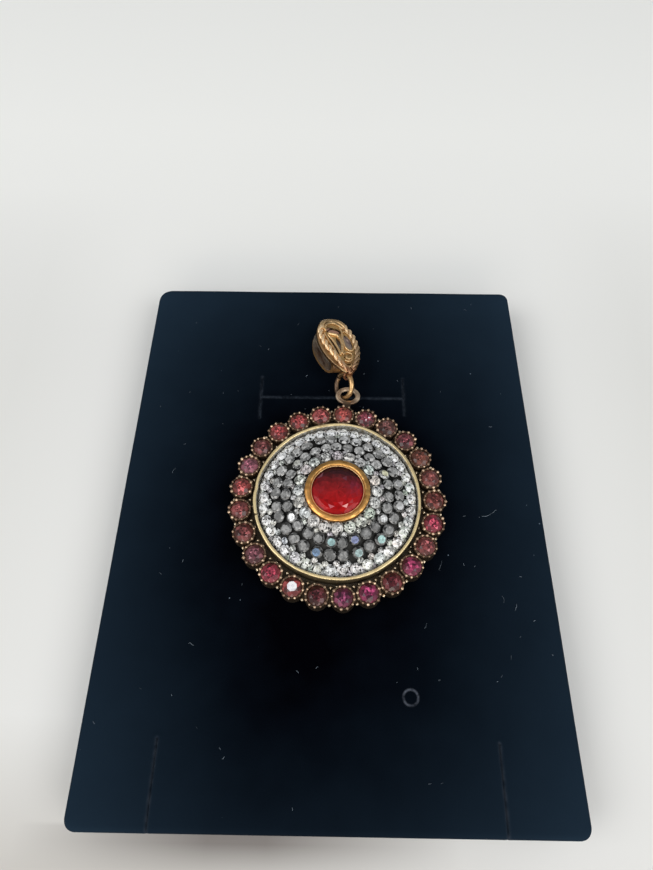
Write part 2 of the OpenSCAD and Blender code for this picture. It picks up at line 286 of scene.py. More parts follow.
def lint_fibres(rng, places):
    """Loose fibres on the pile, each from a place, a heading and a length: the heading turns by a slow
    random walk and a thin square section is carried along the path."""
    count, steps, thick = len(places), 14, 0.024
    heading = np.radians(places[:, 2:3]) + np.cumsum(rng.normal(0, 0.2, (count, steps)), 1)
    stride = places[:, 3:] / steps
    x = places[:, :1] + np.cumsum(np.cos(heading) * stride, 1)
    y = places[:, 1:2] + np.cumsum(np.sin(heading) * stride, 1)
    arch = 0.1 * np.sin(np.linspace(0, np.pi, steps))[None] * rng.uniform(0, 1, (count, 1))
    side = np.stack([-np.sin(heading), np.cos(heading), np.zeros_like(heading)], -1) * thick
    path = np.stack([x, y, velvet_top(x, y) + 0.04 + arch], -1)
    up = np.array([0, 0, thick])
    return np.stack([path + side, path + up, path - side, path - up], 2)


def tube_faces(rows, columns, first=0, closed=False):
    """Cells of a row of rings with a cap at each end, unless it closes on itself."""
    faces = grid_faces(rows, columns, closed, True, first)
    if not closed:
        line = first + np.arange(columns)
        faces += [line[::-1].tolist(), (line + (rows - 1) * columns).tolist()]
    return faces


def joined(grids):
    """Several rows of rings as one set of points and faces."""
    points, faces, first = [], [], 0
    for grid in grids:
        rows, columns = grid.shape[:2]
        faces += tube_faces(rows, columns, first)
        points.append(grid.reshape(-1, 3))
        first += rows * columns
    return np.concatenate(points), faces


rng = np.random.default_rng(3)
FIBRES = [(16.7, -8.5, -95, 1.7), (23.2, -1.5, -5, 2.9), (25.0, -14.8, 45, 1.2), (26.6, -15.9, 40, 1.2),
          (13.9, -17.7, -110, 0.9), (25.3, -21.9, -80, 0.6), (-19.8, -21.0, 20, 1.0), (-25.5, 5.0, 75, 1.1)]
specks = [(7.3, 34.3), (-7.1, 20.0), (-0.6, 20.9), (-4.6, 17.2), (31.1, -21.9), (26.8, -19.5), (22.9, -25.4)]
specks = [(x, y, 45.0, 0.22) for x, y in specks]
flecks = np.stack([rng.uniform(*ends, 60) for ends in ((-31, 31), (-42, 42), (0, 360), (0.15, 0.55))], -1)
flecks = flecks[np.hypot(*(flecks[:, :2] - disc).T) > 18.0]
pale_fibre, nodes, shader = material("pale_fibre", Roughness=0.7)
fuzz = nodes.spread(nodes.noise(nodes.place(), 900.0), 0.35, 0.65)
nodes.into(shader, Base_Color=nodes.mix(fuzz, colour("#303c48"), colour("#93a0ad")))
fibres = lint_fibres(rng, np.concatenate([FIBRES, specks, flecks]))
mesh_piece("lint_fibres", *joined(fibres), "velvet", pale_fibre)

# Setting: the soldered body of antiqued bronze: base plate, 25 tube cups and the flat eyelet. Each cup's
# rim is a crown of prong tips with ribs running down its wall, and small shot balls fill the joints.
cup_count = 25
cup_step = 360 / cup_count
cup_ring_r = 14.85
cup_turns = np.radians(3.6 + np.arange(cup_count) * cup_step)
cup_top = pad_top + 2.6
crown_r = 1.61
prongs = 12
bead_sides = 8
eyelet_foot = 17.3


def around_disc(turn, distance, *height):
    """Points at a clockwise turn from the disc's top and a distance from its middle, and any height."""
    x, y = disc[0] + distance * np.sin(turn), disc[1] + distance * np.cos(turn)
    return np.stack(np.broadcast_arrays(x, y, *height), -1)


def round_steps(count):
    """Even steps of one turn."""
    return np.arange(count) * 2 * np.pi / count


def aged_metal():
    """Shader group: bright metal dulled by tarnish in grain-shaped patches and towards the piece's foot."""
    group = bpy.data.node_groups.new("aged_metal", "ShaderNodeTree")
    for way, kind, names in (("INPUT", "Vector", ["Place"]), ("INPUT", "Color", ["Bright", "Tarnish"]),
                             ("INPUT", "Float", ["Patch Scale", "Cover", "Foot", "Head"]),
                             ("OUTPUT", "Color", ["Colour"]), ("OUTPUT", "Float", ["Roughness", "Height"])):
        for name in names:
            group.interface.new_socket(name, in_out=way, socket_type="NodeSocket" + kind)
    nodes = Nodes(group)
    given = group.nodes.new("NodeGroupInput").outputs
    patch = nodes.noise(given["Place"], given["Patch Scale"], 4.0, 0.65)
    grain = nodes.noise(given["Place"], nodes.times(given["Patch Scale"], 7.0), 2.0, 0.6)
    depth = nodes.spread(nodes.part(given["Place"], "Z"), given["Foot"], given["Head"], 1.0, 0.0)
    cover = nodes.times(nodes.sum("SUBTRACT", given["Cover"], 0.5), 0.6)
    patches = nodes.spread(nodes.sum("ADD", patch, cover), 0.42, 0.62)
    share = nodes.sum("MAXIMUM", nodes.times(patches, 0.75), depth)
    roughness = nodes.sum("ADD", nodes.spread(share, 0.0, 1.0, 0.24, 0.5), nodes.times(grain, 0.1))
    height = nodes.sum("ADD", nodes.times(grain, 0.5), nodes.times(patch, 0.5))
    nodes.into(group.nodes.new("NodeGroupOutput"), Colour=nodes.mix(share, given["Bright"], given["Tarnish"]),
               Roughness=roughness, Height=height)
    return group


aged_metal_group = aged_metal()


def old_metal(name, bright, tarnish, patch, cover, foot, head, bumps, metallic=1.0):
    """Metal with the aged_metal group, foot and head in mm over the table."""
    finish, nodes, shader = material(name, Metallic=metallic)
    aged = nodes.add("Group", "Colour", {"node_tree": aged_metal_group}, Place=nodes.place(),
                     Bright=colour(bright), Tarnish=colour(tarnish), Patch_Scale=patch, Cover=cover,
                     Foot=foot * mm, Head=head * mm)
    parts = aged.node.outputs
    nodes.into(shader, Base_Color=aged, Roughness=parts["Roughness"],
               Normal=bump(nodes, parts["Height"], 0.5, bumps))
    return finish


def overlaid(finish, *layers):
    """The same finish with other colours laid over it, each by a share worked out from its own nodes."""
    nodes, shader = Nodes(finish.node_tree), finish.node_tree.nodes["Principled BSDF"]
    for code, share in layers:
        before = shader.inputs["Base Color"].links[0].from_socket
        nodes.into(shader, Base_Color=nodes.mix(share(nodes), before, colour(code)))
    return finish


def soil_and_painted_shade(nodes):
    """How much dirt and painted shade a piece has, as carried by its points."""
    return nodes.on_points("soil_and_shade")


def dress(node, finish):
    """A CAD node keeps its shape and takes a material in each of its slots."""
    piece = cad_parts[node]
    for slot in piece.material_slots:
        slot.material = finish
    if not piece.material_slots:
        piece.data.materials.append(finish)


def pale_eyelet(nodes):
    """The eyelet is coloured paler, with dirt in darker patches."""
    dirt = nodes.spread(nodes.noise(nodes.place(), 900.0, 3.0), 0.4, 0.62, 1.0, 0.45)
    back = nodes.spread(nodes.part(nodes.place(), "Y"), eyelet_foot * mm, (eyelet_foot + 0.9) * mm)
    return nodes.times(back, dirt)


def outer_side(nodes):
    """The cups' outer halves, over 15.2 mm from the disc's middle, coloured dark brown, but not the eyelet.
    """
    front = nodes.spread(nodes.part(nodes.place(), "Y"), (eyelet_foot - 0.5) * mm, eyelet_foot * mm, 1.0, 0.0)
    return nodes.times(nodes.spread(nodes.length(nodes.place(), -disc * mm), 0.0152, 0.0161, 0.0, 0.7), front)


bronze = old_metal("antique_bronze_cast", "#8a6c54", "#5c5143", 800.0, 0.5, 9.2, 10.5, 0.03, 0.8)
dress("setting", overlaid(bronze, ("#2c241c", outer_side), ("#fce0c0", pale_eyelet)))


def turned_beads(profile, centres):
    """One turned shape at many places: a profile of radii and heights carried round each upright axis."""
    turn = round_steps(bead_sides)
    flat = profile[:, 0, None, None] * np.stack([np.cos(turn), np.sin(turn)], -1)
    up = np.broadcast_to(profile[:, 1, None, None], (len(profile), bead_sides, 1))
    return np.concatenate([flat, up], -1) + centres[:, None, None, :]


PRONG = np.array([[0.08, -1.5], [0.14, -0.8], [0.17, -0.34], [0.22, -0.18], [0.26, 0.0], [0.21, 0.15],
                  [0.1, 0.23]])
rng = np.random.default_rng(11)
cup_turn, prong_turn = np.meshgrid(cup_turns, round_steps(prongs), indexing="ij")
prong_turn = prong_turn + rng.normal(0, 0.045, prong_turn.shape) + rng.uniform(0, 0.4, (cup_count, 1))
foot = around_disc(cup_turn, cup_ring_r) + crown_r * np.stack([np.sin(prong_turn), np.cos(prong_turn)], -1)
height = cup_top + rng.normal(0, 0.03, prong_turn.shape)
tips = np.concatenate([foot, height[..., None]], -1).reshape(-1, 3)
crown_grids = turned_beads(PRONG, tips) - tips[:, None, None]
crown_grids = tips[:, None, None] + crown_grids * rng.uniform(0.66, 1.08, (len(tips), 1, 1, 1))
prong_bronze = old_metal("prong_bronze", "#f8d6b4", "#281912", 1800.0, 0.42, 9.5, 10.5, 0.012, 0.75)
overlaid(prong_bronze, ("#58382a", soil_and_painted_shade))
crowns = mesh_piece("cup_prongs", *joined(crown_grids), "antique_bronze", prong_bronze)
prong_soil = rng.choice([0.0, 0.4, 0.75], len(tips), p=[0.35, 0.35, 0.3])
point_values(crowns, "soil_and_shade", np.repeat(prong_soil, len(PRONG) * bead_sides))

BALL = np.stack([[0.02, 0.16, 0.26, 0.3, 0.26, 0.16, 0.02], 0.3 * np.cos(np.linspace(np.pi, 0, 7))], -1)
ball_z = pad_top + 1.75
low_ball_z = pad_top + 1.2
joint_turns = cup_turns + np.radians(cup_step / 2)
balls = [around_disc(joint_turns, 13.32, ball_z), around_disc(joint_turns, 15.75, ball_z),
         around_disc(cup_turns + np.radians(3.2), 12.98, low_ball_z)]
shot_bronze = old_metal("shot_bronze", "#f0dcbc", "#3a3026", 2600.0, 0.42, 8.5, 9.5, 0.015)
mesh_piece("shot_balls", *joined(turned_beads(BALL, np.concatenate(balls))), "antique_bronze", shot_bronze)

# Edge stones: 25 round brilliants of foiled glass, about 2.8 mm, from coral and rose to magenta and brown,
# one dropped into each cup. The foil's lighter and darker flashes behind the cut face are painted
# reflections, painted into each facet's colour.
GLASS = {"coral": "#a6524f", "magenta": "#a43c62", "brown_red": "#76463f", "rose": "#8a4a52",
         "hot_pink": "#b4465c", "dark_red": "#5a1e24", "plum": "#782848"}
EDGE_SLOTS = ["coral", "rose", "brown_red", "rose", "brown_red", "rose", "brown_red", "hot_pink", "rose",
              "magenta", "dark_red", "magenta", "plum", "dark_red", "coral", "hot_pink", "rose", "brown_red",
              "rose", "coral", "magenta", "brown_red", "coral", "coral", "coral"]


def rgb(code):
    """A screen code as three amounts of linear light."""
    return np.array(colour(code)[:3])


def brilliant(sides, table, crown, girdle, pavilion):
    """Points and faces of one round cut stone of radius 1, its girdle's top at height 0.

    The table's corners lie on a ring at table and crown; the kite tips where each bezel plane meets half a
    step on; the girdle has two points a side; the pavilion is the crown's star upside down, run to a point.
    The table is cut again into a star so that each part can carry its own painted flash, a painted reflection
    of the foil behind it.
    """
    k = np.arange(sides)
    step = 2 * np.pi / sides

    def ring(r, z, shift=0.0, count=sides):
        turn = (np.arange(count) * (sides / count) + shift) * step
        return np.stack([r * np.cos(turn), r * np.sin(turn), np.full(count, float(z))], -1)

    def stack(*columns):
        return np.stack(np.broadcast_arrays(*columns), -1).tolist()

    kite = table + 0.5 * (1 - table)
    kite_z = crown * (1 - (kite * np.cos(step / 2) - table) / (1 - table))
    rows = [ring(0, crown, count=1), ring(table * 0.52, crown, 0.5), ring(table, crown),
            ring(kite, kite_z, 0.5), ring(1, 0, count=2 * sides), ring(1, -girdle, count=2 * sides),
            ring(0.42, -girdle - pavilion * 0.62, 0.5), ring(0, -girdle - pavilion, count=1)]
    heart, star, corner, tip, edge, under, back, point = np.cumsum([0] + [len(r) for r in rows[:-1]])
    after, last = (k + 1) % sides, (k - 1) % sides
    e0, e1, e2 = 2 * k, 2 * k + 1, (2 * k + 2) % (2 * sides)
    two = np.arange(2 * sides)
    faces = stack(heart, star + k, star + after)
    faces += stack(star + k, corner + after, star + after)
    faces += stack(star + k, corner + k, corner + after)
    faces += stack(corner + k, tip + k, corner + after)
    faces += stack(corner + k, tip + last, edge + e0, tip + k)
    faces += stack(tip + k, edge + e0, edge + e1)
    faces += stack(tip + k, edge + e1, edge + e2)
    faces += stack(edge + two, under + two, under + (two + 1) % (2 * sides), edge + (two + 1) % (2 * sides))
    faces += stack(under + e0, back + k, under + e1)
    faces += stack(under + e1, back + k, under + e2)
    faces += stack(under + e0, back + last, point, back + k)
    return np.concatenate(rows), faces


def face_middles(cut):
    """The middle of each facet."""
    return np.array([cut[0][face].mean(0) for face in cut[1]])


def set_stones(name, cut, centres, axes, radii, spins, slot, finish):
    """One mesh of many like stones: each is turned about its axis, scaled, tilted onto it and placed."""
    points, faces = cut
    side = unit(np.cross([0.0, 1.0, 0.0], axes))
    up = np.cross(axes, side)
    across = np.cos(spins)[:, None] * side + np.sin(spins)[:, None] * up
    along = -np.sin(spins)[:, None] * side + np.cos(spins)[:, None] * up
    scaled = points[None] * np.asarray(radii)[:, None, None]
    placed = (scaled[..., :1] * across[:, None] + scaled[..., 1:2] * along[:, None]
              + scaled[..., 2:] * axes[:, None] + centres[:, None])
    every = [[c + s * len(points) for c in face] for s in range(len(centres)) for face in faces]
    return mesh_piece(name, placed.reshape(-1, 3), every, slot, finish, smooth=False)


def paint_flashes(piece, colours):
    """One colour per facet, for the material to read."""
    colours = np.clip(colours, 0, 1).reshape(-1, 3)
    colours = np.concatenate([colours, np.ones((len(colours), 1))], 1).astype(np.float32)
    piece.data.attributes.new("painted_flash", "FLOAT_COLOR", "FACE").data.foreach_set("color", colours.ravel())


def foiled_glass(name, roughness, coat, metallic, shine, sparkle):
    """Foil-backed glass: each facet shows its own painted flash of the foil, split finely as by the facets
    behind it.
    """
    finish, nodes, shader = material(name, Coat_Weight=coat, Coat_Roughness=0.03, Coat_IOR=1.7,
                                     Metallic=metallic, IOR=1.6, Specular_IOR_Level=shine)
    painted_flash = nodes.add("Attribute", "Color", {"attribute_name": "painted_flash"})
    cloud = nodes.noise(nodes.place(), 900.0)
    splinter = nodes.add("TexVoronoi", "Color", Vector=nodes.place(), Scale=2800.0)
    lit = nodes.spread(nodes.red(splinter), 0.0, 1.0, 1 - sparkle, 1 + sparkle)
    painted_flash = nodes.add("VectorMath", settings={"operation": "SCALE"}, Vector=painted_flash, Scale=lit)
    painted_flash = nodes.add("VectorMath", settings={"operation": "MINIMUM"}, i0=painted_flash, i1=(1.0, 1.0, 1.0))
    deep = nodes.add("Gamma", Color=painted_flash, Gamma=1.8)
    nodes.into(shader, Base_Color=nodes.mix(nodes.spread(cloud, 0.35, 0.75, 0.0, 0.35), painted_flash, deep),
               Roughness=nodes.spread(cloud, 0.3, 0.7, roughness, roughness + 0.12))
    return finish


red_glass = foiled_glass("foiled_red_glass", roughness=0.08, coat=0.14, metallic=0.0, shine=0.2, sparkle=0.25)
edge_cut = brilliant(8, 0.52, 0.34, 0.07, 0.6)
edge_middles = face_middles(edge_cut)[:, :2]
brown_edge = np.clip((np.linalg.norm(edge_middles, axis=1) - 0.55) / 0.35, 0, 1)[:, None] * 0.4
edge_r = 1.42
edge_girdle_z = pad_top + 2.53
table_parts = 24
glinting, glaring, frosted = 1, 14, 20
for i, glass in enumerate(EDGE_SLOTS):
    rng = np.random.default_rng(100 + i)
    tint = rgb(GLASS[glass]) * rng.uniform(0.7, 1.0, 3)
    if i == frosted:
        tint = 0.7 * tint + 0.1
    place = around_disc(cup_turns[i], cup_ring_r, edge_girdle_z)[None]
    axis = unit(np.append(rng.normal(0, 0.03, 2), 1.0))[None]
    stone = set_stones(f"edge_stone_{i + 1:02d}", edge_cut, place, axis, [edge_r], rng.uniform(0, 0.8, 1),
                       glass + "_glass", red_glass)
    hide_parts(f"rim_stone_{i + 1:02d}")
    # Painted reflections: each facet's flash, a soft painted glow and a brown outer ring are painted into its
    # colour.
    light = rng.choice([0.3, 0.65, 1.0, 1.5, 2.1], len(edge_middles), p=[0.25, 0.25, 0.25, 0.15, 0.1])
    painted_glow = np.exp(-((edge_middles - rng.uniform(-0.3, 0.3, 2)) ** 2).sum(1) / 0.35 ** 2)
    light = (light * (0.8 + 0.55 * painted_glow))[:, None]
    shine = tint * light + (light - 1.2).clip(0) * [0.07, 0.04, 0.045]
    shine = shine + (rgb("#644437") - shine) * brown_edge
    # A painted glint on two facets of one stone and a painted white glare over another's table.
    if i == glinting:
        shine[rng.integers(0, table_parts, 2)] = rgb("#f4e4ea")
    if i == glaring:
        shine[:table_parts] = [1.0, 0.97, 1.0]
    paint_flashes(stone, shine)

# Dish: the pale brass ring pressed down onto the plate, its tall thin wall hand filed, so the top edge
# wavers a little and has a seam at the left.
dish_r = 12.65
dish_wall = 0.46
dish_top = pad_top + 3.65
dish_floor = pad_top + 1.62
dish_foot = pad_top + 1.1
soften = 0.05
seam_at = 256.5


def near_angle(turn, degrees, wide):
    """1 at an angle round the disc, falling off over a width in degrees."""
    off = np.degrees(np.angle(np.exp(1j * (turn - np.radians(degrees)))))
    return np.exp(-(off / wide) ** 2)


def turned_ring(profile, turn, waver):
    """A closed profile of radii and heights carried round the disc's axis; waver bends radius and height."""
    r, z = waver(profile[:, :1] + np.zeros(len(turn)), profile[:, 1:] + np.zeros(len(turn)), turn[None])
    return around_disc(turn, r, z).reshape(-1, 3), grid_faces(len(profile), len(turn), True, True)


def rounded_corner(middle_r, middle_z, r, start, end, steps=5):
    """Points of an arc of radii and heights, angles in degrees from outwards, upwards positive."""
    turn = np.radians(np.linspace(start, end, steps))
    return np.stack([middle_r + r * np.cos(turn), middle_z + r * np.sin(turn)], -1)


def hand_filed(r, z, turn):
    """Slow waves and five dents that move the wall, fading out towards the floor."""
    share = np.clip((z - pad_top - 1.7) / 1.9, 0, 1)
    wave = 0.04 * np.sin(3 * turn + 0.7) + 0.03 * np.sin(7 * turn) + 0.012 * np.sin(19 * turn + 0.6)
    thin = 0.035 * (np.sin(4 * turn + 0.5) + np.sin(9 * turn)) * (r < dish_r - dish_wall / 2)
    dents = sum(-deep * near_angle(turn, at, wide) for at, deep, wide in
                ((-103.5, 0.16, 0.6), (-84, 0.09, 3), (38, 0.06, 3.5), (171, 0.05, 3), (212, 0.06, 2)))
    return r + share * (wave + dents + thin), z + share * (0.03 * np.sin(5 * turn + 2) + dents * 0.8)


def inside(nodes):
    """The dish's inner wall, which mirrors the stones beside it as grey."""
    return nodes.times(nodes.on_points("inner"), 0.8)


def mirrored_glitter(nodes):
    """White specks of mirrored stones on the inner wall."""
    return nodes.times(inside(nodes), nodes.spread(nodes.noise(nodes.place(), 2400.0), 0.42, 0.54))


half_wall = dish_wall / 2
edge_z = dish_top - half_wall + soften
profile = np.concatenate([
    [[0.4, dish_foot], [6.0, dish_foot], [dish_r - 0.1, dish_foot], [dish_r, pad_top + 1.2],
     [dish_r, pad_top + 2.2], [dish_r, pad_top + 3.0]],
    rounded_corner(dish_r - half_wall + soften, edge_z, half_wall - soften, 0, 90),
    rounded_corner(dish_r - half_wall - soften, edge_z, half_wall - soften, 90, 180),
    [[dish_r - dish_wall, pad_top + 2.6], [dish_r - dish_wall, dish_floor], [0.4, dish_floor]],
])
dish_turn = np.unique(np.append(round_steps(240), np.radians(seam_at) + 0.007 * np.arange(-3, 4)))
filed_brass = old_metal("pale_brass_filed", "#ffe6ae", "#9c7844", 620.0, 0.3, 9.0, 10.9, 0.04, 0.55)
overlaid(filed_brass, ("#3e3428", soil_and_painted_shade), ("#83817d", inside), ("#f6f6f2", mirrored_glitter))
dish = mesh_piece("brass_dish", *turned_ring(profile[::-1], dish_turn, hand_filed), "pale_brass", filed_brass)
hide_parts("dish")
# Painted shade: the outer wall is painted dark, and two arcs of the top edge darker; the seam is a dark
# joint.
outer_wall, outer_edge = [0.88] * 6, [0.85, 0.6, 0.25, 0.05, 0.0]
inner_edge, inner_wall = [0.0] * 5, [0.1] * 3
painted_wall_shade = np.array(outer_wall + outer_edge + inner_edge + inner_wall)[::-1, None]
painted_dark_arcs = 0.34 * near_angle(dish_turn, 48, 26) + 0.16 * near_angle(dish_turn, 300, 18)
point_values(dish, "soil_and_shade", np.maximum(painted_wall_shade, np.maximum(near_angle(dish_turn, seam_at, 0.63), painted_dark_arcs)))
inner_rows = np.array([0.0] * 14 + [0.4, 0.8] + [1.0] * 3)[::-1, None]
point_values(dish, "inner", inner_rows + np.zeros(len(dish_turn)))

# Pavé bed: a dome of black epoxy clay smoothed by hand round the collar. The stones were pressed into it
# while it was soft, so it shows as matt black gaps between them.


def black_clay(name):
    """Matt black clay, grained and rubbed grey, with white sparkle painted in under the two clear rows."""
    finish, nodes, shader = material(name, Specular_IOR_Level=0.35)
    place = nodes.place()
    grain = nodes.noise(place, 2600.0, 3.0, 0.65)
    clay = nodes.mix(nodes.spread(nodes.noise(place, 320.0), 0.4, 0.75), colour("#0c0c0c"), colour("#35332f"))
    out = nodes.length(place, -disc * mm)
    inner_row = nodes.spread(out, 0.0064, 0.007, 1.0, 0.0)
    under_rows = nodes.sum("MAXIMUM", nodes.spread(out, 0.0102, 0.0107), inner_row)
    # Painted sparkle: white specks in the clay under the two clear rows.
    painted_sparkle = nodes.spread(nodes.red(nodes.add("TexVoronoi", "Color", Vector=place, Scale=3600.0)), 0.35, 0.9)
    nodes.into(shader, Base_Color=nodes.mix(nodes.times(painted_sparkle, under_rows), clay, colour("#e4e2dc")),
               Roughness=nodes.spread(grain, 0.3, 0.7, 0.55, 0.85), Normal=bump(nodes, grain, 0.6, 0.04))
    return finish


dress("pave_bed", black_clay("black_epoxy_clay"))

# Pavé stones: rows of small glass brilliants that stand square to the dome. The innermost and the
# outermost row are clear and foiled; the two rows between are hematite grey with flat tables. The foil's
# flashes and the tables' mirror reflections are painted into each facet's colour.
dome_r = 19.0
dome_middle = pad_top + 7.2 - dome_r
small_crown, small_girdle, small_back = 0.3, 0.06, 0.5
stone_back = dome_r - small_crown - small_girdle - small_back
clear_cut = brilliant(8, 0.58, 0.42, 0.07, 0.56)
grey_cut = brilliant(8, 0.66, 0.36, 0.07, 0.56)
facets = len(clear_cut[1])
inner_count, outer_count = 20, 38


def turned(axis, degrees):
    """Rotation matrix about x, y or z."""
    c, s = np.cos(np.radians(degrees)), np.sin(np.radians(degrees))
    return np.array({"x": [[1, 0, 0], [0, c, -s], [0, s, c]], "y": [[c, 0, s], [0, 1, 0], [-s, 0, c]],
                     "z": [[c, -s, 0], [s, c, 0], [0, 0, 1]]}[axis])


def on_dome(rows, rng, loose, upright=1.0):
    """Places, axes and radii of rows of stones, each row its radius, number and width and half a step on."""
    places, axes, radii = [], [], []
    for row, (radius, count, wide) in enumerate(rows):
        turn = np.radians((np.arange(count) + 0.5 * row + rng.normal(0, loose, count)) * 360 / count)
        lean = np.arcsin((radius + rng.normal(0, loose, count)) / dome_r)
        axis = np.stack([np.sin(lean) * np.sin(turn), np.sin(lean) * np.cos(turn), np.cos(lean)], -1)
        places.append([*disc, dome_middle] + axis * (stone_back + small_back))
        axes.append(axis * [upright ** row, upright ** row, 1.0] + rng.normal(0, loose, (count, 3)))
        radii.append(np.full(count, wide / 2))
    places, axes, radii = map(np.concatenate, (places, axes, radii))
    return places, unit(axes), radii


def mosaic(rng, count, levels, chances):
    """Nearly neutral painted flashes for every facet of some stones, drawn from a few light levels."""
    painted_flash = rng.choice(levels, (count, facets), p=chances) + rng.normal(0, 0.05, (count, facets))
    return np.clip(painted_flash, 0.02, 1)[..., None] * (1 + rng.normal(0, 0.035, (count, 1, 3)))


def towards_back(places):
    """1 for a place straight behind the disc's middle, -1 for one in front of it."""
    off = places[:, :2] - disc
    return off[:, 1] / np.hypot(*off.T)


rng = np.random.default_rng(7)
places, axes, radii = on_dome([(5.95, inner_count, 1.78), (11.42, outer_count, 1.78)], rng, 0.03, 0.7)
clear_glass = foiled_glass("foiled_clear_glass", roughness=0.05, coat=0.3, metallic=0.0,
                           shine=0.35, sparkle=0.6)
clear = set_stones("clear_pave", clear_cut, places, axes, radii, rng.uniform(0, 0.8, len(places)),
                   "clear_crystal", clear_glass)
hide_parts("pave_clear")
tone = mosaic(rng, len(places), [1.0, 0.85, 0.6, 0.26, 0.03], [0.32, 0.27, 0.15, 0.12, 0.14])
# Painted light and shade: the inner row darker, the outer row brighter towards the back, where its tables
# face the light.
tone[:inner_count] *= 0.67
tone[inner_count:] *= (1.2 + 0.34 * towards_back(places[inner_count:]))[:, None, None]
paint_flashes(clear, tone * [1.0, 0.99, 0.945])

fillers = [on_dome([row], rng, 0.04) for row in
           ((10.66, outer_count, 1.0), (11.96, outer_count, 0.96), (6.85, inner_count, 0.85))]
places, axes, radii = (np.concatenate(trio) for trio in zip(*fillers))
inmost = slice(-inner_count, None)
places[inmost, :2] = disc + (places[inmost, :2] - disc) @ turned("z", 9)[:2, :2]
places = places - 0.22 * axes
places[outer_count:2 * outer_count, 2] += 0.3
filler = set_stones("filler_pave", clear_cut, places, axes, radii, rng.uniform(0, 0.8, len(places)),
                    "clear_crystal", clear_glass)
tone = mosaic(rng, len(places), [0.95, 0.7, 0.45, 0.22, 0.04], [0.26, 0.24, 0.2, 0.15, 0.15])
paint_flashes(filler, tone * [0.92, 0.91, 0.86])

rng = np.random.default_rng(8)
places, axes, radii = on_dome([(7.8, 27, 1.74), (9.45, 30, 1.84)], rng, 0.06)
hematite = foiled_glass("hematite_glass", roughness=0.2, coat=0.12, metallic=0.1, shine=0.3, sparkle=0.35)
grey = set_stones("grey_pave", grey_cut, places, axes, radii, rng.uniform(0, 0.8, len(places)),
                  "grey_crystal", hematite)
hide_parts("pave_grey")
# Painted flashes on the grey stones' tables and crowns.
painted_flash = np.repeat(rng.uniform(0.2, 0.42, (len(places), 1)), facets, 1)
painted_flash[:, :table_parts] *= rng.uniform(0.75, 1.2, (len(places), table_parts))
painted_flash[:, table_parts:] = rng.choice([0.44, 0.26, 0.12, 0.03], (len(places), facets - table_parts),
                                    p=[0.25, 0.3, 0.25, 0.2])
# Painted light: tables brighter towards the back, where they face the light.
painted_flash *= (1.1 + 0.5 * towards_back(places))[:, None]
tone = painted_flash[..., None] * [1.0, 0.99, 0.97]
# Listed tables, painted: the white and pale ones as glints, the bluish ones as tints.
TINTS_AND_PAINTED_GLINTS = [(9.2, -161, "#7c98b8"), (7.5, -171, "#a4c4c4"), (9.1, 137, "#9cc0bc"), (9.1, 162.5, "#b0c8c8"),
          (7.6, 66, "#f6f2d0"), (7.6, -121, "#ffffff"), (7.6, 119, "#ffffff"), (7.6, 160, "#9098c0"),
          (9.2, 5, "#e8e8e8"), (9.2, 20, "#f0f0f0"), (7.6, -50, "#d8d8d0"), (9.2, 99, "#c8c8c8"),
          (9.2, 80, "#c4c4c4")]
for radius, angle, code in TINTS_AND_PAINTED_GLINTS:
    spot = around_disc(np.radians(angle), radius)
    nearest = np.argmin(np.linalg.norm(places[:, :2] - spot, axis=1))
    tone[nearest, :table_parts] = rgb(code) * rng.uniform(0.6, 1.0, (table_parts, 1))
paint_flashes(grey, tone)

# Collar: a turned brass ring, gilded warm, whose round shoulder is burnished down to a thin bright lip
# over the middle stone's edge.
collar_r = 4.85
collar_top = pad_top + 6.5
lip_r = 3.84
shoulder_z = collar_top - (collar_r - lip_r) / 2
shelf_r = 3.55


def hammered(r, z, turn):
    """Low uneven facets left by the burnisher on the top of the collar."""
    share = np.clip((z - pad_top - 5.6) / 0.5, 0, 1)
    dint = (0.018 * np.sin(11 * turn + 0.4 * np.sin(5 * turn)) + 0.014 * np.sin(23 * turn + 1.3)
            + 0.01 * np.sin(31 * turn))
    return r + 0.4 * share * dint, z + share * dint * (1 + 0.6 * np.sin(40 * r))


def painted_highlight_share(nodes):
    """Where a highlight is painted on the collar, as carried by its points."""
    return nodes.on_points("painted_highlight")


collar_profile = np.concatenate([
    [[shelf_r, dish_floor], [4.6, dish_floor], [4.7, pad_top + 1.7], [4.7, pad_top + 5.2],
     [collar_r, pad_top + 5.5]],
    rounded_corner(collar_r - 0.24, collar_top - 0.34, 0.24, 0, 75, 6),
    [[4.5, collar_top - 0.05], [4.32, collar_top], [4.14, collar_top - 0.06], [3.98, collar_top - 0.2]],
    [[lip_r + 0.12, shoulder_z + 0.2], [lip_r + 0.04, shoulder_z + 0.14], [lip_r, shoulder_z + 0.04]],
    [[lip_r + 0.02, pad_top + 5.95], [4.03, pad_top + 5.94], [4.03, pad_top + 5.5], [3.58, pad_top + 5.46],
     [shelf_r, pad_top + 5.38]],
])
collar_turn = round_steps(200)
gilding = old_metal("warm_gilding", "#d8a460", "#744818", 700.0, 0.4, 12.6, 14.0, 0.03, 0.92)
overlaid(gilding, ("#ffb868", painted_highlight_share), ("#5c3c18", soil_and_painted_shade))
collar_grid = turned_ring(collar_profile[::-1], collar_turn, hammered)
collar = mesh_piece("gilt_collar", *collar_grid, "warm_gold", gilding)
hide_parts("center_bezel")
# Painted shade at the collar's upper left, and painted highlights at its lower left and bottom.
point_values(collar, "soil_and_shade", np.tile(0.35 * near_angle(collar_turn, 318, 24), len(collar_profile)))
painted_highlight = np.maximum(near_angle(collar_turn, 232, 42), 0.5 * near_angle(collar_turn, 160, 40))
point_values(collar, "painted_highlight", np.tile(painted_highlight, len(collar_profile)))


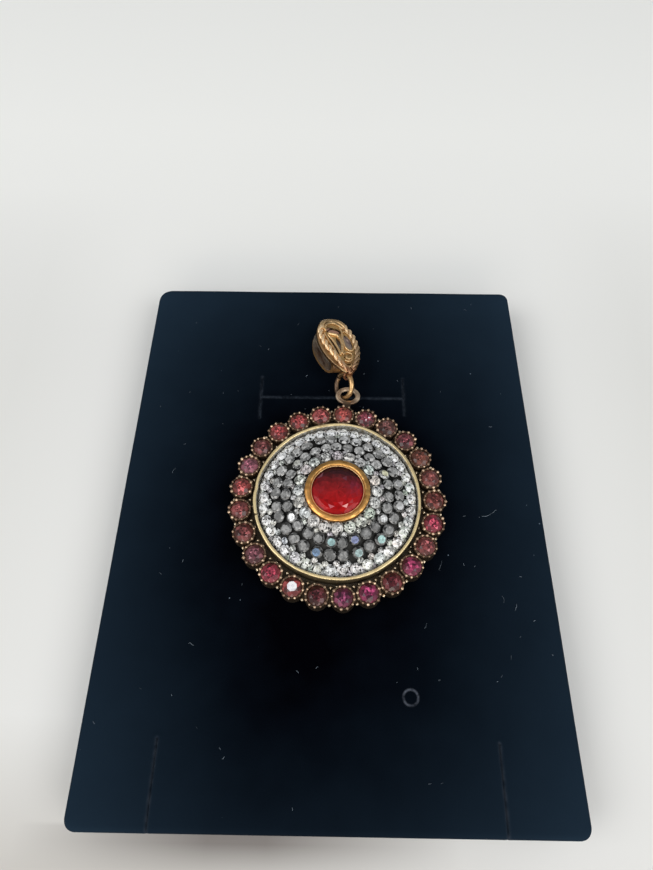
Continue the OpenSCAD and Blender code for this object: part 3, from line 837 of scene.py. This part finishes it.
def swept(path, radii, columns, up, closed=False):
    """A round wire: circles of the given radii stand square to the path, turned no more than it turns."""
    ahead = unit((np.roll(path, -1, 0) - np.roll(path, 1, 0)) if closed else np.gradient(path, axis=0))
    side = unit(np.cross(ahead, up))
    rise = np.cross(side, ahead)
    turn = round_steps(columns)[None, :, None]
    circle = np.cos(turn) * side[:, None] + np.sin(turn) * rise[:, None]
    return path[:, None] + circle * np.broadcast_to(radii, len(path))[:, None, None]


lip_turn = round_steps(160)
lip_path = around_disc(lip_turn, lip_r + 0.05, shoulder_z + 0.2 + 0.015 * np.sin(9 * lip_turn))
lip_points = swept(lip_path, 0.065, bead_sides, [0.0, 0.0, 1.0], closed=True).reshape(-1, 3)
mesh_piece("burnished_lip", lip_points, tube_faces(len(lip_turn), bead_sides, closed=True), "warm_gold",
           old_metal("burnished_gold", "#f4c890", "#a87440", 1500.0, 0.25, 12.6, 13.6, 0.01, 0.6))

# Middle stone: an 8 mm round brilliant of deep red foiled glass under the collar's lip. Light that enters at
# the front edge is thrown back from the far side's pavilion; this glow of the near half, the dark far half
# and the facets' highlights are painted into each facet's colour.


def deep_stone():
    """A wide cut stone of radius 1, 16 facets round: a flat table over a low crown and a shallow back.

    The table is cut into rings of parts, of which every second ring is half a step on, so that the pavilion's
    mains and breaks can show through as long narrow kites.
    """
    sides = 16
    rings = [(0.0, 0.12), (0.16, 0.12), (0.34, 0.12), (0.5, 0.12), (0.66, 0.12), (0.78, 0.12), (0.9, 0.06),
             (1.0, 0.0), (1.0, -0.02), (0.5, -0.34), (0.0, -0.56)]
    points, faces = [], []
    for ring, (r, z) in enumerate(rings):
        turn = round_steps(sides) + (np.pi / sides if ring in (2, 4, 6) else 0)
        points.append(np.stack([r * np.cos(turn), r * np.sin(turn), np.full(sides, z)], -1))
    k = np.arange(sides)
    for ring in range(len(rings) - 1):
        low, high = ring * sides + k, (ring + 1) * sides + k
        low_after, high_after = ring * sides + (k + 1) % sides, (ring + 1) * sides + (k + 1) % sides
        if ring == 0:
            cells = [(low, high, high_after)]
        elif ring == len(rings) - 2:
            cells = [(low, high, low_after)]
        elif ring in (1, 3, 5):
            cells = [(low, high, low_after), (low_after, high, high_after)]
        elif ring in (2, 4, 6):
            cells = [(low, high, high_after), (low, high_after, low_after)]
        else:
            cells = [(low, high, high_after, low_after)]
        for cell in cells:
            faces += np.stack(cell, -1).tolist()
    return np.concatenate(points), faces


heart_r = 3.98
heart_place = np.array([[*disc, pad_top + 5.86]])
deep_cut = deep_stone()
middles = face_middles(deep_cut)
deep_red = foiled_glass("deep_red_glass", roughness=0.05, coat=0.05, metallic=0.0, shine=0.1, sparkle=0.08)
heart = set_stones("middle_stone", deep_cut, heart_place, np.array([[0.0, 0.0, 1.0]]), [heart_r], [0.05],
                   "deep_red_glass", deep_red)
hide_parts("center_stone")
rng = np.random.default_rng(21)
across, along = middles[:, 0], middles[:, 1]
# Painted light and shade: the near half is painted glowing, the far half dark.
painted_glow = np.clip(0.5 - 0.75 * along - 0.1 * across, 0, 1)[:, None]
dark, mid, lit = rgb("#3e1c20"), rgb("#961c1f"), rgb("#b60e12")
tone = np.where(painted_glow < 0.5, dark + (mid - dark) * painted_glow * 2, mid + (lit - mid) * (painted_glow * 2 - 1))
tone = tone * (1 + rng.normal(0, 0.12, (len(tone), 1)))
# Painted shade: the top and the near edge are painted darker.
painted_dark_top = np.clip(along - 0.55, 0, 0.4)[:, None] / 0.4
painted_dark_near_edge = np.clip(-along - 0.5, 0, 0.4)[:, None] / 0.4
tone = tone * (1 - 0.25 * painted_dark_top) * (1 - 0.2 * painted_dark_near_edge)
# Painted reflections: plum, red and dark patches painted over parts of the stone.
for u, v, size, code, share in ((0.62, 0.1, 0.3, "#7a3048", 0.5), (-0.7, 0.0, 0.25, "#7c2c34", 0.5),
                                (0.0, -0.75, 0.2, "#9c0408", 0.6), (-0.6, 0.55, 0.2, "#3c1418", 0.5)):
    near = np.exp(-((across - u) ** 2 + (along - v) ** 2) / size ** 2) * rng.uniform(0.3, 1.0, len(across))
    tone = tone + (rgb(code) - tone) * (near * share)[:, None]
# Painted highlights on single facets.
for u, v, code in ((0.24, -0.66, "#f8b4b0"), (0.12, -0.6, "#c84048"), (-0.3, -0.66, "#cc6870"),
                   (0.42, -0.5, "#a83a3e"), (-0.55, 0.62, "#80505c"), (0.3, 0.5, "#6a3440")):
    tone[np.argmin(np.hypot(across - u, along - v))] = rgb(code)
paint_flashes(heart, tone)

# Jump ring: 0.8 mm bronze wire wound round a rod and cut, so its two ends meet a little out of line. It
# leans between the eyelet and the bail, and its left arm is coloured darker brown.
ring_middle = np.array([1.95, 20.51, pad_top + 2.22])
ring_frame = turned("z", -4.3) @ turned("x", 34) @ turned("y", -50.6)
ring_r = 2.07
ring_cut_at = 142
ring_cut = 5
ring_count = 110
ring_turn = np.radians(np.linspace(ring_cut_at + 0.2, ring_cut_at + 360 - ring_cut - 0.2, ring_count))
share = np.linspace(-1, 1, ring_count)
off_line = 0.1 * np.sign(share) * np.clip((np.abs(share) - 0.75) / 0.25, 0, 1) ** 2
path = np.stack([ring_r * np.cos(ring_turn), ring_r * np.sin(ring_turn), off_line], -1)
wire_r = np.full(ring_count, 0.4)
wire_r[[0, -1]] = 0.33


def dull_left(nodes):
    """The ring's left arm is coloured darker brown."""
    across = nodes.part(nodes.place(), "X")
    return nodes.spread(across, ring_middle[0] * mm - 0.0012, ring_middle[0] * mm + 0.0002, 0.95, 0.0)


ring_grid = swept(path @ ring_frame.T + ring_middle, wire_r, 16, ring_frame[:, 2])
ring_bronze = old_metal("ring_bronze", "#d6ac78", "#6a4424", 700.0, 0.34, 8.2, 9.4, 0.015, 0.85)
overlaid(ring_bronze, ("#5c4a3e", dull_left))
ring = mesh_piece("cut_jump_ring", *joined([ring_grid]), "antique_bronze", ring_bronze)
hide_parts("jump_ring")

# Bail: a strip of antiqued brass folded over, its front leaf run out to a tip. Twisted wire is soldered
# along the front leaf's edges and plain wires and scrolls fill it. Pale light is painted into its hollow and
# its windows, and shade on the leaf's left side, its fold and its lower right edge.
bail_tip = np.array([3.0, 21.44, pad_top + 4.75])
bail_frame = turned("z", 17.8) @ turned("x", -4.3) @ turned("y", 18.5)
face_out = bail_frame[:, 2]
leaf_long = 12.8
leaf_half = 3.6
widest_at = 6.86
tip_half = 0.44
fold_half = 0.74
fold_r = 1.575


def leaf_place(nodes, axis):
    """How many mm a point lies from the leaf's tip: across the leaf, along it or out of its face."""
    line = bail_frame[:, axis]
    return nodes.sum("SUBTRACT", nodes.along(nodes.place(), line / mm), float(bail_tip @ line))


def leaf_band(nodes, axis, low, high, to_low=0.0, to_high=1.0):
    """A share that changes between two distances across the leaf, along it or out of its face."""
    return nodes.spread(leaf_place(nodes, axis), low, high, to_low, to_high)


def leaf_oval(nodes, across, along, middle, half):
    """Square of the distance from an oval's middle, 1 at its edge."""
    off = [nodes.sum("DIVIDE", nodes.sum("SUBTRACT", *pair), size) for *pair, size in
           zip((across, along), middle, half)]
    return nodes.sum("ADD", *(nodes.sum("POWER", part, 2.0) for part in off))


def in_hollow(nodes):
    """Faces that look up into the bail's hollow, where pale light is painted: they point out of the leaf and
    lie well below its front.
    """
    facing = nodes.spread(nodes.along(nodes.place("Normal"), face_out), 0.2, 0.5)
    light_patches = nodes.spread(nodes.noise(nodes.place(), 500.0), 0.35, 0.6, 0.55, 1.0)
    return nodes.times(nodes.times(facing, leaf_band(nodes, 2, -1.2, -0.6, 1.0, 0.0)), light_patches)


def hollow_streaks(nodes):
    """Dark streaks on the floor of the bail's hollow, along the leaf."""
    place = nodes.add("CombineXYZ", X=leaf_place(nodes, 0), Y=nodes.times(leaf_place(nodes, 1), 0.3))
    streak = nodes.spread(nodes.noise(place, 1.6, 3.0, 0.6), 0.46, 0.58, 0.0, 0.8)
    return nodes.times(in_hollow(nodes), streak)


def shaded_leaf_side(nodes):
    """Faces that look out of the leaf's left side, near its front, where shade is painted."""
    facing = nodes.spread(nodes.along(nodes.place("Normal"), -bail_frame[:, 0]), 0.5, 0.8, 0.0, 0.8)
    return nodes.times(facing, leaf_band(nodes, 2, -1.2, -0.6))


def at_tip(nodes):
    """How near the leaf's tip a point lies: the last 3 mm are coloured coppery and dark."""
    return leaf_band(nodes, 1, 0.4, 3.4, 0.85, 0.0)


def at_crest(nodes):
    """Where the leaf bends over at its fold and turns away from the light."""
    return leaf_band(nodes, 1, 10.4, 11.8, 0.0, 0.6)


def low_right(nodes):
    """The right edge below its widest part, which turns away from the light."""
    return nodes.times(leaf_band(nodes, 0, 0.6, 1.4), leaf_band(nodes, 1, 4.4, 7.0, 0.65, 0.0))


def left_border(nodes):
    """The strip of leaf between the left rope and the edge, coloured darker brown."""
    across = nodes.sum("ADD", leaf_place(nodes, 0), nodes.times(leaf_place(nodes, 1), 0.13))
    return nodes.times(nodes.spread(across, -1.5, -1.2, 0.5, 0.0), leaf_band(nodes, 1, 8.6, 10.0, 1.0, 0.0))


def painted_top_window(inner, outer):
    """The painted window near the fold, an oval, filled between two squares of the distance from its middle.
    """
    def share(nodes):
        tilted = nodes.sum("ADD", leaf_place(nodes, 1), nodes.times(leaf_place(nodes, 0), 0.25))
        out = leaf_oval(nodes, leaf_place(nodes, 0), tilted, (-0.1, 9.62), (1.4, 0.7))
        below = nodes.spread(out, outer, outer + 0.15, 1.0, 0.0)
        return nodes.times(nodes.times(nodes.spread(out, inner - 0.15, inner), below), 0.85)

    return share


def painted_side_window(nodes):
    """The painted grey light that shows in and round the leaf's side window, an upright oval."""
    out = leaf_oval(nodes, leaf_place(nodes, 0), leaf_place(nodes, 1), (1.78, 6.85), (0.72, 1.7))
    return nodes.spread(out, 0.8, 1.0, 0.85, 0.0)


leaf_brass = old_metal("antique_brass_leaf", "#cca66c", "#5a3a20", 600.0, 0.36, 8.6, 10.8, 0.02, 0.65)
# Painted light and shade: pale light in the hollow, shade on the left side and fold, a painted window near
# the fold (pale inside, a dark shaded ring round it) and grey light round the side window.
dress("bail", overlaid(leaf_brass, ("#c4bcae", in_hollow), ("#2a1c24", hollow_streaks), ("#7a4630", at_tip),
                       ("#6a4028", left_border), ("#5a4630", at_crest), ("#3a2418", shaded_leaf_side),
                       ("#d09c88", painted_top_window(-0.1, 0.7)), ("#2c1a12", painted_top_window(0.75, 1.1)),
                       ("#a8988e", painted_side_window)))


def on_leaf(u, v, w):
    """Points given across the leaf, from its tip to its fold and out of its front face."""
    return np.stack(np.broadcast_arrays(u, v, w), -1).reshape(-1, 3).astype(float) @ bail_frame.T + bail_tip


def leaf_half_width(v):
    """Half the leaf's width at a distance from its tip: two arcs that meet where it is widest."""
    reach = np.where(v < widest_at, widest_at, leaf_long - widest_at)
    drop = leaf_half - np.where(v < widest_at, tip_half, fold_half)
    r = (reach ** 2 + drop ** 2) / (2 * drop)
    return leaf_half - r + np.sqrt(np.maximum(r ** 2 - (v - widest_at) ** 2, 0))


def leaf_face(v):
    """Height of the front face: flat, then round the fold from where its quarter circle starts."""
    over = np.clip(v - (leaf_long - fold_r), 0, fold_r)
    return -fold_r + np.sqrt(np.maximum(fold_r ** 2 - over ** 2, 0))


def smooth_path(knots, count):
    """A Catmull-Rom curve through the knots, evenly stepped between them."""
    knots = np.asarray(knots, float)
    ends = np.concatenate([[2 * knots[0] - knots[1]], knots, [2 * knots[-1] - knots[-2]]])
    t = np.linspace(0, len(knots) - 1 - 1e-9, count)
    k, f = t.astype(int), (t % 1)[:, None]
    a, b, c, d = (ends[k + j] for j in range(4))
    bend, twist = 2 * a - 5 * b + 4 * c - d, 3 * b - a - 3 * c + d
    return 0.5 * (2 * b + (c - a) * f + bend * f ** 2 + twist * f ** 3)


def leaf_path(knots, count, rise):
    """A smooth path through points across and along the leaf, at a height over its face."""
    line = smooth_path(knots, count)
    return on_leaf(line[:, 0], line[:, 1], leaf_face(line[:, 1]) + rise)


twist_pitch = 2.6
twist_r = 0.24
strand_r = 0.28


def twisted(knots):
    """Two wires twisted together: each winds round the middle line once a pitch, half a turn apart."""
    path = leaf_path(knots, 300, 0.16)
    ahead = unit(np.gradient(path, axis=0))
    run = np.concatenate([[0], np.cumsum(np.linalg.norm(np.diff(path, axis=0), axis=1))])
    side = unit(np.cross(ahead, face_out))
    rise = np.cross(side, ahead)
    for start in (0, 0.5):
        turn = 2 * np.pi * (start - run / twist_pitch)[:, None]
        strand = path + twist_r * (np.cos(turn) * side + np.sin(turn) * rise)
        yield swept(strand, strand_r, bead_sides, face_out)


left_rope = [(0.0, -0.15), (-0.48, 0.94), (-1.11, 2.28), (-1.71, 4.31), (-2.31, 5.9), (-2.62, 7.6),
             (-2.6, 9.2), (-2.1, 10.5)]
right_rope = [(leaf_half_width(v) - 0.5, v) for v in (10.6, 9.2, 7.6, 6.0, 4.4, 2.8, 1.4, 0.4)]
rope_brass = old_metal("rope_brass", "#ffdcae", "#4c3018", 1800.0, 0.28, 10.6, 12.0, 0.012, 0.75)
mesh_piece("twisted_edge_wires", *joined([*twisted(left_rope), *twisted(right_rope)]), "antique_gold",
           overlaid(rope_brass, ("#96603f", at_tip), ("#6a4e36", low_right)))


def leaf_wire(radius, count, rise, *knots):
    """A plain wire laid on the leaf through points across and along it, its ends drawn thinner."""
    radii = np.full(count, radius)
    radii[[0, -1]] = radius * 0.6
    return swept(leaf_path(knots, count, rise), radii, 10, face_out)


run = np.linspace(0.35, 12.45, 240)
plain_edge = swept(on_leaf(-leaf_half_width(run) + 0.22, run, leaf_face(run) - 0.12), 0.19, 10, face_out)
fill_wires = [
    plain_edge,
    leaf_wire(0.42, 60, 0.12, (-2.0, 10.0), (-1.75, 11.1), (-0.9, 11.95), (0.2, 12.2), (1.2, 11.9),
              (2.0, 11.1), (2.5, 10.2)),
    leaf_wire(0.24, 60, 0.12, (-1.6, 9.6), (-1.2, 10.8), (-0.3, 11.4), (0.6, 11.4), (1.4, 10.8), (1.9, 9.9)),
    leaf_wire(0.2, 50, 0.16, (-1.45, 8.7), (-1.0, 7.6), (-0.7, 6.4), (-0.53, 5.2), (-0.52, 3.9)),
    leaf_wire(0.17, 50, 0.12, (-1.95, 9.3), (-1.75, 8.0), (-1.45, 6.4), (-1.2, 4.8), (-0.95, 3.2),
              (-0.3, 1.3)),
    leaf_wire(0.27, 50, 0.12, (-1.35, 9.0), (-0.4, 8.75), (0.35, 8.4), (0.62, 7.3), (0.42, 5.9), (0.05, 4.9),
              (-0.25, 4.3)),
    leaf_wire(0.18, 60, 0.12, (1.3, 10.4), (1.4, 9.2), (1.08, 8.1), (0.92, 6.8), (0.92, 5.7), (1.4, 4.8)),
    leaf_wire(0.15, 60, 0.12, (1.4, 4.8), (2.1, 4.95), (2.75, 6.1), (2.8, 7.4), (2.6, 8.5), (2.05, 9.35),
              (1.6, 9.2)),
    leaf_wire(0.15, 60, 0.12, (-0.05, 4.1), (0.6, 4.5), (1.3, 4.35), (1.6, 3.85), (1.3, 3.25), (0.75, 3.0),
              (0.3, 3.3), (0.5, 3.7)),
    leaf_wire(0.14, 30, 0.12, (-0.2, 2.75), (0.35, 2.5), (0.95, 2.6), (1.35, 3.0)),
    leaf_wire(0.13, 30, 0.12, (-0.35, 1.55), (0.1, 1.3), (0.55, 1.4), (0.8, 1.75)),
]
wire_brass = old_metal("wire_brass", "#ecc690", "#402a16", 1100.0, 0.34, 10.8, 12.0, 0.02, 0.75)
mesh_piece("leaf_wires", *joined(fill_wires), "antique_gold",
           overlaid(wire_brass, ("#7a4c38", left_border), ("#5c4a34", at_crest)))


def window_backing(middle, half, lean):
    """A thin pale oval plate let into the leaf behind one of its windows, on the window's own axes: it stands
    in for the lit back leaf seen through the window.
    """
    profile = np.array([[0.02, -0.45], [1.0, -0.45], [1.0, -0.35], [0.7, -0.33], [0.02, -0.33]])
    turn = round_steps(24)
    oval = half * np.stack([np.cos(turn), np.sin(turn)], -1) @ turned("z", lean)[:2, :2].T
    across = profile[:, 0, None, None] * oval + middle
    out = np.broadcast_to(profile[:, 1, None, None], (*across.shape[:2], 1))
    return np.concatenate([across, out], -1) @ bail_frame.T + bail_tip


# A pale plate that stands in for light on the back leaf seen through the side window.
mesh_piece("window_backing", *joined([window_backing([2.0, 7.1], [0.54, 1.72], 10.7)]), "antique_gold",
           old_metal("grey_backing", "#c0aaa2", "#5c4c4a", 900.0, 0.5, 8.0, 9.0, 0.02, 0.3))

# Table top and light: a pale floor under soft light from high at the left, high at the right and
# behind the camera, which is held above the near edge of the pad as for the photograph. The floor's colour is
# painted lighter far behind, with painted shade at the far sides and the front left and a painted contact
# shadow in front of the pad.
paper, nodes, shader = material("pale_paper", Roughness=0.8, Specular_IOR_Level=0.2)
place = nodes.place()
across, along = nodes.part(place, "X"), nodes.part(place, "Y")
sheet = nodes.mix(nodes.noise(place, 9.0), colour("#f6f5f1"), colour("#efeeec"))
# Painted light: the floor is painted lighter far behind the pad.
sheet = nodes.mix(nodes.spread(along, 0.04, 0.1), sheet, colour("#fefdf9"))
# Painted shade at the far sides.
painted_side_shade = nodes.spread(nodes.sum("ABSOLUTE", across), 0.042, 0.06)
painted_side_shade = nodes.times(painted_side_shade, nodes.spread(along, 0.03, 0.08, 1.0, 0.0))
sheet = nodes.mix(painted_side_shade, sheet, colour("#eae9e5"))
# Painted shade in front at the left.
painted_front_left_shade = nodes.spread(across, -0.02, 0.03, 1.0, 0.15)
painted_front_left_shade = nodes.times(painted_front_left_shade, nodes.spread(along, -0.048, -0.03, 1.0, 0.0))
sheet = nodes.mix(painted_front_left_shade, sheet, colour("#d2cec8"))
# Painted contact shadow on the floor just in front of the pad.
off_middle = nodes.sum("ABSOLUTE", nodes.sum("ADD", across, 0.012))
in_front = nodes.times(nodes.spread(along, -0.0491, -0.0452), nodes.spread(along, -0.0435, -0.043, 1.0, 0.0))
painted_contact_shadow = nodes.times(in_front, nodes.spread(off_middle, 0.004, 0.03, 1.0, 0.0))
nodes.into(shader, Base_Color=nodes.mix(painted_contact_shadow, sheet, colour("#8f8985")))
floor_points = [(x, y, 0.0) for x, y in ((-900, -600), (900, -600), (900, 1600), (-900, 1600))]
floor = mesh_piece("floor", floor_points, [[0, 1, 2, 3]], finish=paper)

world = bpy.data.worlds.new("studio")
bpy.context.scene.world = world
world.use_nodes = True
nodes = Nodes(world.node_tree)
towards = nodes.part(nodes.place("Generated"), "Y")
nodes.into(world.node_tree.nodes["Background"], Color=colour("#e8ecef"),
           Strength=nodes.spread(towards, -0.7, 0.7, 0.9, 0.3))


def soft_light(name, place, wide, high, power, tint="#ffffff"):
    """A rectangular soft light at a place in mm, aimed at the middle of the pad's top."""
    lamp = bpy.data.lights.new(name, "AREA")
    lamp.shape, lamp.size, lamp.size_y, lamp.energy = "RECTANGLE", wide * mm, high * mm, power
    lamp.color = colour(tint)[:3]
    holder = bpy.data.objects.new(name, lamp)
    bpy.context.collection.objects.link(holder)
    ahead = unit(np.array([0, 0, pad_top]) - place)
    side = unit(np.cross(ahead, [0.0, 1.0, 0.0]))
    turn = np.eye(4)
    turn[:3] = np.stack([side, np.cross(side, ahead), -ahead, np.array(place) * mm], -1)
    holder.matrix_world = Matrix(turn.tolist())


soft_light("left_window", (-380, -120, 440), 320, 320, 0.9)
soft_light("right_window", (340, -220, 420), 300, 300, 0.8)
soft_light("behind_camera", (-40, -460, 210), 420, 120, 0.6, "#fff4e6")

photo_high = 870
focal_pixels = 603
lens = bpy.data.cameras.new("photo_camera")
lens.sensor_fit = "VERTICAL"
lens.sensor_height = 36.0
lens.lens = focal_pixels * lens.sensor_height / photo_high
lens.clip_start = 0.005
camera = bpy.data.objects.new("photo_camera", lens)
bpy.context.collection.objects.link(camera)
camera_place = np.array([-0.0572, -34.2883, 96.3288])
held = Matrix.Translation(camera_place * mm)
for angle, axis in ((0.01733596, "Z"), (0.48532572, "X"), (-0.00257679, "Z")):
    held = held @ Matrix.Rotation(angle, 4, axis)
camera.matrix_world = held
bpy.context.scene.camera = camera
bpy.context.scene.view_settings.view_transform = "Standard"
